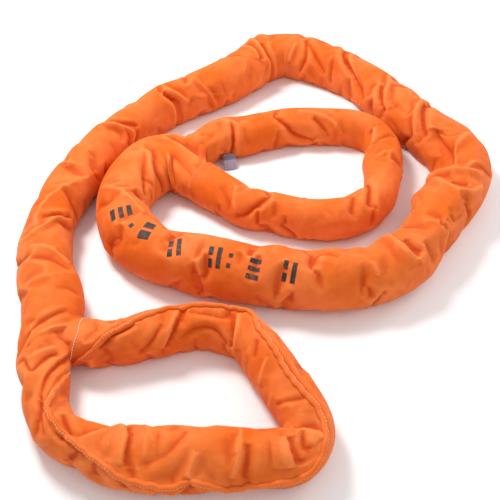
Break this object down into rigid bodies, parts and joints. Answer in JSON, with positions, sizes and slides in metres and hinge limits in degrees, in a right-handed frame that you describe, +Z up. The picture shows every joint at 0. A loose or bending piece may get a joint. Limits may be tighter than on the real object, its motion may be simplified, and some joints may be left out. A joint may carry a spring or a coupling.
{
  "type": "round sling",
  "caption": "Eye-and-eye polyester round sling: core yarn in woven sleeves, bound by a wide middle sleeve with a soft lifting eye at each end, laid in a loose flat spiral.",
  "frame": {"origin": "centre of the laid sling's bounding box, on the floor it lies on", "axes": "+Z up from the floor; +Y from the outer eye towards the far end of the spiral, along the longest extent; +X to the right"},
  "size_m": [1.3854, 1.8266, 0.1521],
  "materials": {
    "middle_sleeve": "woven polyester, soft satin",
    "eye_sleeve": "woven polyester, soft satin",
    "leg_sleeve": "woven polyester, matte",
    "core_yarn": "parallel polyester yarn",
    "thread": "twisted sewing thread",
    "label": "coated woven tag"
  },
  "bodies": {
    "outer_band": {"middle_sleeve_outer": "middle_sleeve", "leg_sleeve_outer_left": "leg_sleeve", "leg_sleeve_outer_right": "leg_sleeve", "core_yarn_outer_left": "core_yarn", "core_yarn_outer_right": "core_yarn"},
    "inner_band": {"middle_sleeve_inner": "middle_sleeve", "leg_sleeve_inner_left": "leg_sleeve", "leg_sleeve_inner_right": "leg_sleeve", "core_yarn_inner_left": "core_yarn", "core_yarn_inner_right": "core_yarn"},
    "outer_eye": {"middle_sleeve_outer_end": "middle_sleeve", "eye_sleeve_outer_right": "eye_sleeve", "eye_sleeve_outer_left": "eye_sleeve", "core_yarn_outer_eye": "core_yarn", "eye_seam": "eye_sleeve", "eye_seam_thread": "thread", "neck_thread_outer": "thread"},
    "inner_eye": {"middle_sleeve_inner_end": "middle_sleeve", "eye_sleeve_inner_back": "eye_sleeve", "eye_sleeve_inner_bend": "eye_sleeve", "eye_sleeve_inner_front": "eye_sleeve", "core_yarn_inner_eye": "core_yarn", "neck_thread_inner": "thread"},
    "label": {"label": "label", "label_thread": "thread"}
  },
  "joints": [
    {"name": "outer_eye_lift", "type": "hinge", "parent": "outer_band", "child": "outer_eye", "pos_m": [-0.56426, -0.37723, 0.151], "axis": [-0.9482, -0.3176, 0], "range_deg": [0, 90]},
    {"name": "coil_lift", "type": "hinge", "parent": "outer_band", "child": "inner_band", "pos_m": [0.471, -0.1673, 0.151], "axis": [0, 1, 0], "range_deg": [0, 90]},
    {"name": "inner_eye_lift", "type": "hinge", "parent": "inner_band", "child": "inner_eye", "pos_m": [-0.30986, 0.2156, 0.151], "axis": [0.2896, -0.9571, 0], "range_deg": [0, 90]},
    {"name": "label_flap", "type": "hinge", "parent": "inner_eye", "child": "label", "pos_m": [-0.102, 0.288, 0.04], "axis": [-0.9781, -0.2079, 0], "range_deg": [0, 80]}
  ]
}
